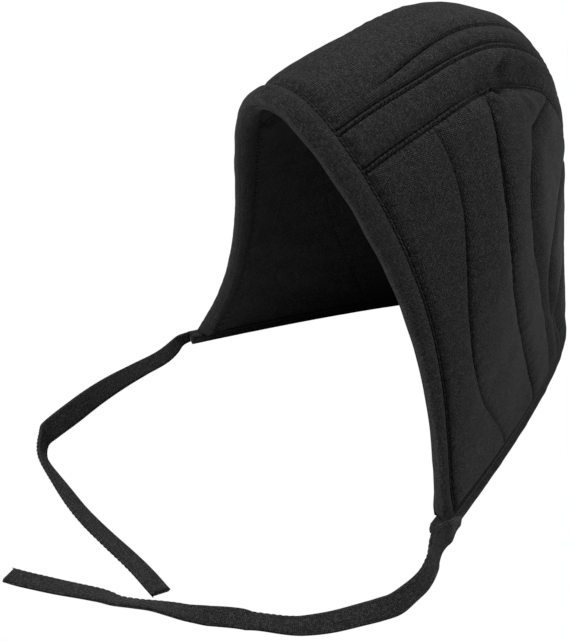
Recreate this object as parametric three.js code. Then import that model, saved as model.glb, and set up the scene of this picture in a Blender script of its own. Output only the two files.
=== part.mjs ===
// Arming cap of quilted black canvas, lengths in millimetres, Z up.
// It stands on its neck rim at Z = 0, the face opening looks to -Y,
// and the wearer's left side is +X.
import * as THREE from 'three';

// Form of the cap
const CORNER_HALF_WIDTH = 121;    // middle to each cheek corner
const RIM_REACH = 237;            // cheek corners back to the nape
const BODY_HALF_WIDTH = 77;       // middle to the side wall at the nape
const OPENING_ANGLE = 96.6;       // degrees from the neck rim up to the face opening
const CHEEK_BOW = 21;             // how far the cheek edges hollow to the back
const CHEEK_BOW_SKEW = 1.34;      // above 1 moves that hollow down to the cheeks

// Padding and seams
const PAD = 9;                    // thickness in the middle of a quilted channel
const SEAM_DEPTH = 2.5;             // each face sinks this far at a seam
const PUFF = 7;                   // width over which the padding swells from a seam
const GAP = 0.3;                  // between neighbouring pieces
const QUILT_LINE = 24.5;          // middle of the crown to its quilting line
const QUILT_SPREAD = 0.35;        // share by which that line stands wider in front
const CROWN_HALF_WIDTH = 38.5;    // middle of the crown to its side seam
const STRIP_WIDTH = 22;           // strip between the crown and the side panel
const CROWN_TAPER = 0.26;         // share by which crown and strips narrow to the nape
const BAND_WIDTH = 16;            // padded band round the face opening
const BINDING_HEIGHT = 7;         // folded binding round the neck rim

// Ties
const TIE_WIDTH = 12;
const TIE_THICKNESS = 2.2;
const TIE_LIFT = 0.05;            // clear of the table

// Sections of the cap in half-planes through both cheek corners, at equal steps
// from the neck rim up and over to the face opening. Reach is a share of
// RIM_REACH and half width of BODY_HALF_WIDTH. Roundness is the exponent of the
// superellipse. Spread tells how gently the cheek flares out to its corner.
const SECTIONS = [
  // reach, half width, roundness, spread
  [1.000, 1.000, 2.0, 0.97],
  [0.960, 1.040, 2.0, 0.85],
  [0.995, 1.070, 2.0, 0.68],
  [1.090, 1.110, 2.1, 0.38],
  [1.080, 1.140, 2.4, 0.17],
  [0.960, 1.090, 2.2, 0.37],
  [0.878, 0.990, 2.0, 0.62],
];

// Quilting lines of a side panel from the front to the back. Foot is the place
// on the neck rim from the cheek corner as a share of RIM_REACH. Head is the
// place on the crown side seam, as a share of the opening angle. Bow moves the
// line to the front, as a share of RIM_REACH, most at the share bend of its
// height, and fold is how deep the cloth buckles there, as a share of PAD.
const SIDE_LINES = [
  // foot, head, bow, bend, fold
  [0.34, 0.820, 0.115, 0.43, 0.06],
  [0.55, 0.720, 0.100, 0.60, 0.24],
  [0.71, 0.550, 0.210, 0.77, 0.62],
  [0.80, 0.430, 0.150, 0.66, 0.62],
  [0.87, 0.250, 0.080, 0.58, 0.50],
];

// Hollows where the quilting buckles, and swells where the depth is below zero.
// Back, up and the half sizes long and wide are shares of RIM_REACH in the flat
// pattern of a side, turn is in degrees and depth a share of PAD.
const HOLLOWS = [
  // back, up, long, wide, turn, depth
  [0.335, 0.925, 0.046, 0.038, 0, 0.44],
  [0.480, 0.925, 0.110, 0.046, -18, 0.50],
  [0.490, 0.790, 0.084, 0.038, -40, 0.33],
  [0.612, 0.903, 0.093, 0.027, -34, -0.25],
];

const rad = Math.PI / 180;
const LEAN = OPENING_ANGLE * rad;
// Cheek corners, forward of the middle of the cap's length
const CORNER_Y = -(RIM_REACH * (1 + SECTIONS[6][0] * Math.cos(LEAN)) + 0.25 * PAD) / 2;
const STEPS = 160;
const mix = (a, b, t) => a + (b - a) * t;

// Smooth curve through one column of a table whose rows are evenly spaced
function through(rows, column, t) {
  const last = rows.length - 1;
  const u = Math.min(Math.max(t, 0) * last, last - 1e-9);
  const i = Math.floor(u);
  const f = u - i;
  const at = k => rows[Math.min(Math.max(k, 0), last)][column];
  const p0 = i > 0 ? at(i - 1) : 2 * at(0) - at(1);
  const p1 = at(i);
  const p2 = at(i + 1);
  const p3 = i + 2 <= last ? at(i + 2) : 2 * at(last) - at(last - 1);
  return p1 + 0.5 * f * (p2 - p0
    + f * (2 * p0 - 5 * p1 + 4 * p2 - p3 + f * (3 * (p1 - p2) + p3 - p0)));
}

// Point of the outer form: lift 0 is the rim and 1 the face opening, turn is 0
// in the middle plane and a right angle at the left cheek corner.
const BOW_PEAK = (1 / (1 + CHEEK_BOW_SKEW))
  * (CHEEK_BOW_SKEW / (1 + CHEEK_BOW_SKEW)) ** CHEEK_BOW_SKEW;
function formPoint(lift, turn) {
  const reach = RIM_REACH * through(SECTIONS, 0, lift);
  const half = BODY_HALF_WIDTH * through(SECTIONS, 1, lift);
  const power = 2 / through(SECTIONS, 2, lift);
  const spread = through(SECTIONS, 3, lift);
  const out = Math.max(Math.cos(turn), 0) ** power;
  const body = Math.abs(Math.sin(turn)) ** power;
  const flare = spread * (1 - out) ** 1.5 + (1 - spread) * (1 - out) ** 5;
  const bow = CHEEK_BOW * lift * lift * out * (1 - out) ** CHEEK_BOW_SKEW / BOW_PEAK;
  const x = half * body + (CORNER_HALF_WIDTH - half) * flare;
  return new THREE.Vector3(Math.sign(turn) * x,
    CORNER_Y + reach * out * Math.cos(lift * LEAN) + bow,
    reach * out * Math.sin(lift * LEAN));
}

// Lengths along one section from the middle plane to the corner
const rows = new Map();
function row(lift) {
  const key = Math.round(lift * 1e6);
  if (!rows.has(key)) {
    const length = [0];
    let before = formPoint(lift, 0);
    for (let k = 1; k <= STEPS; k++) {
      const p = formPoint(lift, (k / STEPS) * Math.PI / 2);
      length.push(length[k - 1] + p.distanceTo(before));
      before = p;
    }
    rows.set(key, length);
  }
  return rows.get(key);
}
const halfLength = lift => row(lift)[STEPS];
function along(lift, ell) {
  const length = row(lift);
  const want = Math.min(Math.abs(ell), length[STEPS]);
  let k = 1;
  while (k < STEPS && length[k] < want) k++;
  const f = (want - length[k - 1]) / (length[k] - length[k - 1]);
  return formPoint(lift, Math.sign(ell) * ((k - 1 + f) / STEPS) * Math.PI / 2);
}

// Flat pattern of the left half with the cheek corner at its origin: back runs
// along the rim and up towards the face opening.
const liftOf = (back, up) => Math.min(Math.max(Math.atan2(up, back) / LEAN, 0), 1);
const ellOf = (back, up) => halfLength(liftOf(back, up)) - Math.hypot(back, up);
const onPattern = (back, up) => along(liftOf(back, up), ellOf(back, up));
const pattern = (lift, ell) => {
  const far = halfLength(lift) - ell;
  return [far * Math.cos(lift * LEAN), far * Math.sin(lift * LEAN)];
};
function outward(back, up) {
  const h = 0.6;
  const high = Math.max(up, h + 0.01);
  const a = onPattern(back + h, high).sub(onPattern(back - h, high));
  const b = onPattern(back, high + h).sub(onPattern(back, high - h));
  return a.cross(b).normalize();
}
function skin(back, up, depth, foot = false) {
  const p = onPattern(back, up).addScaledVector(outward(back, up), -depth);
  return p.setZ(foot ? TOP_OF_BINDING : Math.max(p.z, TOP_OF_BINDING));
}

// Height on the pattern at which a place is so far above the table
function upAt(back, z) {
  let up = z;
  for (let k = 0; k < 8; k++) up *= z / onPattern(back, up).z;
  return up;
}

// The band runs on the pattern from above the binding to the middle plane
const TOP_OF_BINDING = BINDING_HEIGHT + GAP;
function bandMiddle(w) {
  let low = 0.8;
  let high = 1;
  for (let k = 0; k < 30; k++) {
    const lift = (low + high) / 2;
    if (halfLength(lift) * Math.sin((1 - lift) * LEAN) > w) low = lift; else high = lift;
  }
  return pattern(low, 0);
}
function bandPlace(share, w) {
  const back = w / Math.sin(LEAN) + TOP_OF_BINDING / Math.tan(LEAN);
  const foot = [back, upAt(Math.max(back, 0.3), TOP_OF_BINDING)];
  const top = bandMiddle(w);
  return [mix(foot[0], top[0], share), mix(foot[1], top[1], share)];
}
const SEAM_AT = BAND_WIDTH + GAP;
function shareAtBand(ell) {
  let low = 0;
  let high = 1;
  for (let k = 0; k < 40; k++) {
    const share = (low + high) / 2;
    if (ellOf(...bandPlace(share, SEAM_AT)) > ell) low = share; else high = share;
  }
  return high;
}
const liftAtBand = ell => liftOf(...bandPlace(shareAtBand(ell), SEAM_AT));
const liftAtBinding = ell => {
  let lift = 0.03;
  for (let k = 0; k < 8; k++) lift *= TOP_OF_BINDING / along(lift, ell).z;
  return lift;
};

// Padding: how far a face sinks at this distance from the nearest seam
const sink = e => 1 - Math.sqrt(Math.max(0, 1 - (1 - Math.min(Math.max(e, 0) / PUFF, 1)) ** 2));
function hollow(back, up) {
  let depth = 0;
  for (const [hb, hu, long, wide, turn, deep] of HOLLOWS) {
    const dx = back / RIM_REACH - hb;
    const dy = up / RIM_REACH - hu;
    const c = Math.cos(turn * rad);
    const s = Math.sin(turn * rad);
    const far = ((dx * c + dy * s) / long) ** 2 + ((dy * c - dx * s) / wide) ** 2;
    depth += deep * PAD * Math.exp(-far);
  }
  return depth;
}

// Closed mesh from a grid of outer and inner points
function shell(name, material, places) {
  const outer = places.map(line => line.map(p => p.outer));
  const inner = places.map(line => line.map(p => p.inner));
  const faces = [];
  const quad = (a, b, c, d) => faces.push([a, b, c], [a, c, d]);
  const n = outer.length - 1;
  const m = outer[0].length - 1;
  for (let i = 0; i < n; i++) {
    for (let j = 0; j < m; j++) {
      quad(outer[i][j], outer[i + 1][j], outer[i + 1][j + 1], outer[i][j + 1]);
      quad(inner[i][j], inner[i][j + 1], inner[i + 1][j + 1], inner[i + 1][j]);
    }
    quad(outer[i][0], inner[i][0], inner[i + 1][0], outer[i + 1][0]);
    quad(outer[i][m], outer[i + 1][m], inner[i + 1][m], inner[i][m]);
  }
  for (let j = 0; j < m; j++) {
    quad(outer[0][j], outer[0][j + 1], inner[0][j + 1], inner[0][j]);
    quad(outer[n][j], inner[n][j], inner[n][j + 1], outer[n][j + 1]);
  }
  return closed(name, material, faces);
}

// Closed mesh from rings of equal length
function tube(name, material, rings) {
  const faces = [];
  const n = rings[0].length;
  for (let i = 0; i + 1 < rings.length; i++) {
    for (let j = 0; j < n; j++) {
      const k = (j + 1) % n;
      faces.push([rings[i][j], rings[i + 1][j], rings[i + 1][k]],
        [rings[i][j], rings[i + 1][k], rings[i][k]]);
    }
  }
  const first = rings[0];
  const last = rings[rings.length - 1];
  for (const [a, b, c] of capFaces(n)) {
    faces.push([first[a], first[b], first[c]], [last[a], last[c], last[b]]);
  }
  return closed(name, material, faces);
}
function capFaces(n) {
  const faces = [];
  let a = 0;
  let b = n - 1;
  while (b - a > 1) {
    faces.push([a, a + 1, b]);
    a++;
    if (b - a > 1) {
      faces.push([a, b - 1, b]);
      b--;
    }
  }
  return faces;
}
function closed(name, material, faces) {
  const real = faces.filter(([a, b, c]) => a.distanceTo(b) > 2e-3
    && b.distanceTo(c) > 2e-3 && a.distanceTo(c) > 2e-3);
  let volume = 0;
  for (const [a, b, c] of real) volume += a.dot(b.clone().cross(c));
  const flat = [];
  for (const [a, b, c] of real) {
    const order = volume > 0 ? [a, b, c] : [a, c, b];
    for (const p of order) flat.push(p.x, p.y, p.z);
  }
  const geometry = new THREE.BufferGeometry();
  geometry.setAttribute('position', new THREE.Float32BufferAttribute(flat, 3));
  geometry.computeVertexNormals();
  const mesh = new THREE.Mesh(geometry, material);
  mesh.name = name;
  return mesh;
}
const flip = p => new THREE.Vector3(-p.x, p.y, p.z);
const mirrored = places => places.map(line => line.map(p => ({ outer: flip(p.outer), inner: flip(p.inner) })));

// Places at the seams and between them, closer together beside each seam
const steps = (from, to, inside) => [0, ...inside, 1].map(t => mix(from, to, t));

// Crown and strips narrow behind the top of the head, and the quilting line of
// the crown spreads and fades towards the forehead
function ease(from, to, t) {
  const s = Math.min(Math.max((t - from) / (to - from), 0), 1);
  return s * s * (3 - 2 * s);
}
function narrow(lift) {
  return 1 - CROWN_TAPER * (1 - ease(0.36, 0.70, lift));
}
const quiltLine = lift => QUILT_LINE * (1 + QUILT_SPREAD * ease(0.74, 0.93, lift));

// Side panel columns, also the rows of the crown and the strips: on each line
// and between the lines, closer together beside them
const SIDE_TOP = CROWN_HALF_WIDTH + STRIP_WIDTH + GAP / 2;
const FRONT_LIFT = liftAtBand(SIDE_TOP);
const BACK_TOP = SIDE_TOP * narrow(0);
const BACK_LIFT = liftAtBinding(BACK_TOP);
const ENDS = [
  [bandPlace(0, SEAM_AT)[0] / RIM_REACH, FRONT_LIFT, 0, 0.43, 0],
  ...SIDE_LINES,
  [pattern(BACK_LIFT, BACK_TOP)[0] / RIM_REACH, BACK_LIFT, 0, 0.62, 0],
];
const LAST = ENDS.length - 1;
const between = (line, column) => {
  const i = Math.min(Math.floor(line), LAST - 1);
  return mix(ENDS[i][column], ENDS[i + 1][column], line - i);
};
const COLUMNS = [];
for (let k = 0; k < LAST; k++) COLUMNS.push(k, k + 0.1, k + 0.34, k + 0.66, k + 0.9);
COLUMNS.push(LAST);

// Crown panel and strips: grids of lift along the head and length across it
function acrossGrid(ellsAt, seams) {
  return COLUMNS.map(line => {
    const share = (between(line, 1) - BACK_LIFT) / (FRONT_LIFT - BACK_LIFT);
    return ellsAt(mix(BACK_LIFT, FRONT_LIFT, share)).map(ell => {
      const flat = Math.abs(ell);
      let own = flat;
      let lift = mix(BACK_LIFT, FRONT_LIFT, share);
      let whole = 0;
      for (let k = 0; k < 4; k++) {
        own = flat * narrow(lift);
        const top = liftAtBand(own);
        const bottom = liftAtBinding(own);
        lift = mix(bottom, top, share);
        whole = (top - bottom) * RIM_REACH * LEAN;
      }
      let near = Math.min(share, 1 - share) * whole;
      for (const s of seams) near = Math.min(near, Math.abs(flat - s));
      const quilt = sink(Math.abs(flat - quiltLine(lift))) * (1 - ease(0.84, 0.93, lift));
      const dip = SEAM_DEPTH * Math.max(sink(near), quilt);
      const [back, up] = pattern(lift, own);
      const down = hollow(back, up);
      const foot = line === LAST;
      const outer = skin(back, up, dip + down, foot);
      const inner = skin(back, up, PAD - dip + down, foot);
      return ell < 0 ? { outer: flip(outer), inner: flip(inner) } : { outer, inner };
    });
  });
}
const CROWN_EDGE = CROWN_HALF_WIDTH - GAP / 2;
const STRIP_FROM = CROWN_HALF_WIDTH + GAP / 2;
const STRIP_TO = CROWN_HALF_WIDTH + STRIP_WIDTH - GAP / 2;
const crownElls = line => [0, line * 0.38, line * 0.76, line,
  mix(line, CROWN_EDGE, 0.5), CROWN_EDGE];
const STRIP_ELLS = [0, 0.15, 0.5, 0.85, 1].map(t => mix(STRIP_FROM, STRIP_TO, t));
function crownPlaces() {
  const both = left => [...left.slice(1).map(e => -e).reverse(), ...left];
  return acrossGrid(lift => both(crownElls(quiltLine(lift))), [CROWN_HALF_WIDTH]);
}
const stripPlaces = () => acrossGrid(() => STRIP_ELLS, [STRIP_FROM, STRIP_TO]);

// Side panel: lines from the neck rim up to the crown side seam
const BOW_RISE = 1.8;
const HEIGHTS = [0, 0.025, 0.055, 0.09, 0.13, 0.19, 0.27, 0.36, 0.45, 0.54, 0.63, 0.72, 0.8,
  0.88, 0.95, 0.985, 1];
function sidePlace(line, height) {
  const foot = between(line, 0) * RIM_REACH;
  const low = upAt(foot, TOP_OF_BINDING);
  const lift = between(line, 1);
  const head = pattern(lift, SIDE_TOP * narrow(lift));
  const bend = between(line, 3);
  const bow = between(line, 2) * RIM_REACH * (height / bend) ** BOW_RISE
    * ((1 - height) / (1 - bend)) ** (BOW_RISE * (1 - bend) / bend);
  return [mix(foot, head[0], height) - bow, mix(low, head[1], height)];
}
function sidePlaces() {
  return COLUMNS.map(line => {
    const k = Math.round(line);
    const ends = [sidePlace(k, 0), sidePlace(k, 1)];
    const tall = Math.hypot(ends[0][0] - ends[1][0], ends[0][1] - ends[1][1]);
    return HEIGHTS.map(height => {
      const [back, up] = sidePlace(line, height);
      const own = sidePlace(k, height);
      const beside = Math.hypot(back - own[0], up - own[1]);
      const near = Math.min(beside, Math.min(height, 1 - height) * tall);
      const dip = SEAM_DEPTH * sink(near);
      const fold = ENDS[k][4] * PAD * Math.exp(-((beside / PUFF) ** 2)) * Math.sin(Math.PI * height) ** 0.6;
      const down = dip + hollow(back, up) + fold;
      const foot = height === 0;
      return {
        outer: skin(back, up, down, foot),
        inner: skin(back, up, PAD - 2 * dip + down, foot),
      };
    });
  });
}

// Rounded section of the face band: distance from the front edge as a share of
// BAND_WIDTH, and depth as a share of PAD
const BAND_SECTION = [
  [0.00, 0.50], [0.05, 0.22], [0.18, 0.04], [0.45, -0.05], [0.75, -0.02], [1.00, 0.28],
  [1.00, 0.72], [0.75, 1.03], [0.45, 1.05], [0.18, 0.96], [0.05, 0.78],
];
function bandRings() {
  const shares = HEIGHTS.map(h => h * shareAtBand(SIDE_TOP));
  const rest = [...STRIP_ELLS.slice(1, 4).reverse(), CROWN_HALF_WIDTH,
    ...crownElls(quiltLine(FRONT_LIFT)).slice(0, -1).reverse()];
  shares.push(...rest.map(shareAtBand));
  shares[shares.length - 1] = 1;
  const half = shares.map((share, k) => BAND_SECTION.map(([w, d]) => {
    const [back, up] = bandPlace(share, w * BAND_WIDTH);
    return skin(back, up, d * PAD, k === 0);
  }));
  for (const p of half[half.length - 1]) p.setX(0);
  return [...half, ...half.slice(0, -1).reverse().map(ring => ring.map(flip))];
}

// Folded binding: depth as a share of PAD, height as a share of BINDING_HEIGHT
const BINDING_SECTION = [
  [0.10, 0], [0.90, 0], [1.04, 0.16], [1.09, 0.5], [1.03, 0.86], [0.90, 1],
  [0.10, 1], [-0.03, 0.86], [-0.09, 0.5], [-0.04, 0.16],
];
function bindingRings() {
  const half = [];
  const count = 30;
  for (let k = 0; k <= count; k++) {
    const back = (k / count) * halfLength(0);
    const at = along(0, halfLength(0) - back);
    const h = 0.6;
    const ahead = along(0, halfLength(0) - Math.max(back - h, 0));
    const behind = along(0, halfLength(0) - Math.max(back + h, 2 * h));
    const out = behind.sub(ahead).cross(new THREE.Vector3(0, 0, 1)).normalize();
    if (k === count) out.set(0, 1, 0);
    half.push(BINDING_SECTION.map(([d, z]) => at.clone()
      .addScaledVector(out, -d * PAD).setZ(z * BINDING_HEIGHT)));
  }
  return [...half, ...half.slice(0, -1).reverse().map(ring => ring.map(flip))];
}

// Ties: places of their middle on the table, out from the cheek corner and
// forward from it, the roll of the flat strip in degrees, 90 on its edge, and
// its share of the full width. The left tie starts beside the binding's last
// part, the right one on from its end.
const TIE_LEFT = [
  // out, forward, roll, width
  [-1.8, -14, 90, 0.6], [0.3, -7.3, 90, 1.1], [2.1, -0.6, 86, 1.4], [2, 4.5, 78, 1.4],
  [3, 10.5, 68, 1.32], [6.4, 16, 64, 1.09], [10, 20.8, 62, 1.04], [14.4, 30.8, 58, 1.01],
  [15.8, 41.3, 52, 0.95], [15.5, 50.9, 32, 0.91], [12.7, 58, 16, 0.96], [9.1, 66.5, 9, 0.98],
  [2.7, 81.6, 5, 0.98], [-6.2, 95.5, -1, 0.98], [-17.3, 106.8, -7, 0.98],
  [-24.8, 113, 5, 0.98], [-36.4, 124.3, -1, 0.98], [-42, 130.5, -12, 0.98],
  [-48, 135.8, -21, 0.98], [-54.4, 141.8, -32, 0.98], [-61, 148.3, -34, 0.97],
  [-68, 154.2, -31, 0.97], [-76.7, 158.8, -22, 0.96], [-92.4, 170.6, -16, 0.96],
  [-107.3, 181.5, -12, 0.96], [-115.6, 187.3, -14, 0.96],
];
const TIE_RIGHT = [
  // out, forward, roll, width
  [-4.2, 2.3, 90, 0.72], [-4.6, 7, 94, 0.75], [-5.6, 10.8, 110, 0.77], [-8.6, 17.5, 136, 0.81],
  [-11.6, 25, 149, 0.88], [-13.3, 32, 156, 0.95], [-14.1, 39, 160, 1],
  [-15.2, 46.8, 159, 1.03], [-19.8, 67.1, 150, 1.11], [-26, 86.3, 138, 1.14],
  [-33, 104.7, 133, 1.15], [-39.2, 122.3, 134, 1.08], [-45.4, 129.6, 108, 1],
  [-54.9, 135.3, 109, 0.96], [-65, 137.9, 121, 0.96], [-83.4, 139, 136, 0.96],
  [-102.7, 139.7, 148, 0.96], [-119.6, 139.2, 155, 0.96], [-136.3, 137.6, 159, 0.96],
  [-160.8, 134.9, 164, 0.96], [-182, 134.4, 162, 0.96],
];
const TIE_SECTION = [
  [-0.5, 0.25], [-0.5, -0.25], [-0.44, -0.5], [0.44, -0.5], [0.5, -0.25], [0.5, 0.25],
  [0.44, 0.5], [-0.44, 0.5],
];
function tieRings(table, side) {
  const rings = [];
  const count = (table.length - 1) * 2;
  const centre = t => new THREE.Vector3(CORNER_HALF_WIDTH + through(table, 0, t),
    CORNER_Y - through(table, 1, t), 0);
  for (let k = 0; k <= count; k++) {
    const t = k / count;
    const roll = through(table, 2, t) * rad;
    const way = centre(Math.min(t + 0.004, 1)).sub(centre(Math.max(t - 0.004, 0))).normalize();
    const up = new THREE.Vector3(0, 0, 1);
    const wide = way.clone().cross(up).multiplyScalar(Math.cos(roll)).addScaledVector(up, Math.sin(roll));
    const thick = wide.clone().cross(way);
    const width = TIE_WIDTH * through(table, 3, t);
    const lowest = Math.abs(Math.sin(roll)) * width / 2 + Math.abs(Math.cos(roll)) * TIE_THICKNESS / 2;
    const at = centre(t).setZ(lowest + TIE_LIFT);
    rings.push(TIE_SECTION.map(([w, h]) => {
      const p = at.clone().addScaledVector(wide, w * width).addScaledVector(thick, h * TIE_THICKNESS);
      return side < 0 ? flip(p) : p;
    }));
  }
  return rings;
}

const cloth = name => {
  const material = new THREE.MeshStandardMaterial({ color: 0x1c1c1e, roughness: 0.95 });
  material.name = name;
  return material;
};
const canvas = cloth('quilted_canvas');
const tape = cloth('canvas_tape');

const cap = new THREE.Group();
cap.name = 'arming_cap';
const strip = stripPlaces();
const side = sidePlaces();
cap.add(
  shell('crown_panel', canvas, crownPlaces()),
  shell('strip_left', canvas, strip),
  shell('strip_right', canvas, mirrored(strip)),
  shell('side_panel_left', canvas, side),
  shell('side_panel_right', canvas, mirrored(side)),
  tube('face_band', canvas, bandRings()),
  tube('neck_binding', tape, bindingRings()),
  tube('tie_left', tape, tieRings(TIE_LEFT, 1)),
  tube('tie_right', tape, tieRings(TIE_RIGHT, -1)),
);
export default cap;
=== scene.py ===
# Arming cap of quilted black canvas, standing on its neck rim with its ties loose.
# Lengths are in millimetres while the shapes are worked out and in metres in Blender.
import math

import bpy
import numpy as np
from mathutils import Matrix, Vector


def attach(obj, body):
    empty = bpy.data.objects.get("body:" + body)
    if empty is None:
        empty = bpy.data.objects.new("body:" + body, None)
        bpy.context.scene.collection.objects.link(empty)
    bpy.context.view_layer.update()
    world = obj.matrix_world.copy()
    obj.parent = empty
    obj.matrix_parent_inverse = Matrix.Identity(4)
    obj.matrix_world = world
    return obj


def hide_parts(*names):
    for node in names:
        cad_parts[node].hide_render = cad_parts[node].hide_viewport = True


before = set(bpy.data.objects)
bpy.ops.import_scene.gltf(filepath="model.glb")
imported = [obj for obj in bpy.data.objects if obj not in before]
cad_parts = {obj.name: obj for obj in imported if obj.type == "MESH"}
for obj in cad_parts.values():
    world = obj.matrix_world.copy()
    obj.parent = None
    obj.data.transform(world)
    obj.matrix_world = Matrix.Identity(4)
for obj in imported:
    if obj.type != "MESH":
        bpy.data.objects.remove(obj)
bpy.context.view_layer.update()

MM = 0.001

# Form of the cap, as in its CAD
CORNER_HALF_WIDTH = 121
RIM_REACH = 237
BODY_HALF_WIDTH = 77
LEAN = math.radians(96.6)       # from the neck rim up to the face opening
CHEEK_BOW = 21
CHEEK_BOW_SKEW = 1.34
PAD = 9                         # thickness of the padding
SEAM_DIP = 2.5
GAP = 0.3                       # between neighbouring pieces
QUILT_LINE = 24.5               # from the middle of the crown
QUILT_SPREAD = 0.35
CROWN_TAPER = 0.26
CROWN_HALF_WIDTH = 38.5
STRIP_WIDTH = 22
BAND_WIDTH = 16
BINDING_HEIGHT = 7
TIE_WIDTH = 12
TIE_THICKNESS = 2.2
TIE_LIFT = 0.05                 # above the floor

# Cloth
FELL = 1.25                     # seam line to each stitching row beside it
PUFF = 7                        # from a row to where the padding is full
INNER_SHARE = 0.85              # of a fold's depth that shows on the inner face
LINE_SINK = {"line1": 0.62}     # how deep a quilting line is sewn, 1 for a seam
DEFAULT_SINK = 0.9
BAND_HALF_LENGTH = 250
HEAD_LENGTH = RIM_REACH * 1.62  # nape to forehead, over the head
STITCH_PITCH = 3.0
NORMAL_STEP = 0.6               # for slopes of the form

# Sections from the neck rim to the face opening: reach, half width, roundness, spread
SECTIONS = np.array([
    [1.000, 1.000, 2.0, 0.97],
    [0.960, 1.040, 2.0, 0.85],
    [0.995, 1.070, 2.0, 0.68],
    [1.090, 1.110, 2.1, 0.38],
    [1.080, 1.140, 2.4, 0.17],
    [0.960, 1.090, 2.2, 0.37],
    [0.878, 0.990, 2.0, 0.62],
])
# Quilting lines of a side panel: foot, head, bow, bend
SIDE_LINES = [
    [0.34, 0.820, 0.115, 0.43],
    [0.55, 0.720, 0.100, 0.60],
    [0.71, 0.550, 0.210, 0.77],
    [0.80, 0.430, 0.150, 0.66],
    [0.87, 0.250, 0.080, 0.58],
]
BOW_RISE = 1.8
CORNER_Y = -(RIM_REACH * (1 + SECTIONS[6][0] * math.cos(LEAN)) + 0.25 * PAD) / 2
TOP_OF_BINDING = BINDING_HEIGHT + GAP
SEAM_AT = BAND_WIDTH + GAP / 2
SIDE_TOP = CROWN_HALF_WIDTH + STRIP_WIDTH + GAP / 2


def mix(a, b, t):
    return a + (b - a) * t


def smooth(a, b, t):
    s = np.clip((t - a) / (b - a), 0, 1)
    return s * s * (3 - 2 * s)


def spline(p0, p1, p2, p3, f):
    """Smooth curve from p1 to p2 with a neighbour on each side."""
    return p1 + 0.5 * f * (p2 - p0 + f * (2 * p0 - 5 * p1 + 4 * p2 - p3 + f * (3 * (p1 - p2) + p3 - p0)))


def through(rows, t):
    """Smooth curve through the evenly spaced rows of a table."""
    rows = np.asarray(rows, float)
    last = len(rows) - 1
    u = np.minimum(np.clip(t, 0, 1) * last, last - 1e-9)
    i = np.floor(u).astype(int)
    f = u - i
    ends = np.concatenate([[2 * rows[0] - rows[1]], rows, [2 * rows[-1] - rows[-2]]])
    p0, p1, p2, p3 = ends[i], ends[i + 1], ends[i + 2], ends[i + 3]
    if p0.ndim > f.ndim:
        f = f[..., None]
    return spline(p0, p1, p2, p3, f)


def arc(points):
    """Length along a line of points at each of them."""
    return np.concatenate([[0], np.cumsum(np.linalg.norm(np.diff(points, axis=0), axis=1))])


def unit(vectors):
    return vectors / np.linalg.norm(vectors, axis=-1, keepdims=True)


BOW_PEAK = (1 / (1 + CHEEK_BOW_SKEW)) * (CHEEK_BOW_SKEW / (1 + CHEEK_BOW_SKEW)) ** CHEEK_BOW_SKEW


def form(lift, turn):
    """Point of the outer form: lift 0 is the rim, 1 the face opening."""
    lift, turn = np.broadcast_arrays(np.asarray(lift, float), np.asarray(turn, float))
    row = through(SECTIONS, lift)
    reach, half = RIM_REACH * row[..., 0], BODY_HALF_WIDTH * row[..., 1]
    power, spread = 2 / row[..., 2], row[..., 3]
    out = np.maximum(np.cos(turn), 0) ** power
    body = np.abs(np.sin(turn)) ** power
    flare = spread * (1 - out) ** 1.5 + (1 - spread) * (1 - out) ** 5
    bow = CHEEK_BOW * lift * lift * out * (1 - out) ** CHEEK_BOW_SKEW / BOW_PEAK
    x = half * body + (CORNER_HALF_WIDTH - half) * flare
    return np.stack([np.sign(turn) * x, CORNER_Y + reach * out * np.cos(lift * LEAN) + bow,
                     reach * out * np.sin(lift * LEAN)], axis=-1)


# Tables that turn a length along a section into a turn
LIFT_STEPS = 600
TURN_STEPS = 400
LIFTS = np.linspace(0, 1, LIFT_STEPS + 1)
TURNS = np.linspace(0, math.pi / 2, TURN_STEPS + 1)
_length = np.stack([arc(section) for section in form(LIFTS[:, None], TURNS[None, :])])
HALF = _length[:, -1]
_shares = np.linspace(0, 1, TURN_STEPS + 1)
TURN_AT = np.stack([np.interp(_shares * HALF[i], _length[i], TURNS) for i in range(LIFT_STEPS + 1)])


def half_length(lift):
    return np.interp(lift, LIFTS, HALF)


def along(lift, ell):
    """Point at a length from the middle plane on the section at this lift."""
    lift, ell = np.broadcast_arrays(np.asarray(lift, float), np.asarray(ell, float))
    s = np.clip(np.abs(ell) / half_length(lift), 0, 1) * TURN_STEPS
    r = np.clip(lift, 0, 1) * LIFT_STEPS
    i, j = np.minimum(r.astype(int), LIFT_STEPS - 1), np.minimum(s.astype(int), TURN_STEPS - 1)
    f, g = r - i, s - j
    turn = mix(mix(TURN_AT[i, j], TURN_AT[i, j + 1], g), mix(TURN_AT[i + 1, j], TURN_AT[i + 1, j + 1], g), f)
    return form(lift, np.where(ell < 0, -1, 1) * turn)


# Flat pattern of the left half: lengths back and up from the cheek corner
def lift_of(back, up):
    return np.clip(np.arctan2(up, back) / LEAN, 0, 1)


def ell_of(back, up):
    return half_length(lift_of(back, up)) - np.hypot(back, up)


def on_pattern(back, up):
    return along(lift_of(back, up), ell_of(back, up))


def pattern(lift, ell):
    far = half_length(lift) - ell
    return far * np.cos(lift * LEAN), far * np.sin(lift * LEAN)


def outward(back, up):
    h = NORMAL_STEP
    high = np.maximum(up, h + 0.01)
    a = on_pattern(back + h, high) - on_pattern(back - h, high)
    b = on_pattern(back, high + h) - on_pattern(back, high - h)
    return unit(np.cross(a, b))


def skin(back, up, depth, side=1):
    """Points at a depth below the outer form; side -1 is the right half."""
    p = on_pattern(back, up) - outward(back, up) * np.asarray(depth)[..., None]
    p[..., 2] = np.maximum(p[..., 2], TOP_OF_BINDING)
    return p * [side, 1, 1]


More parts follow.
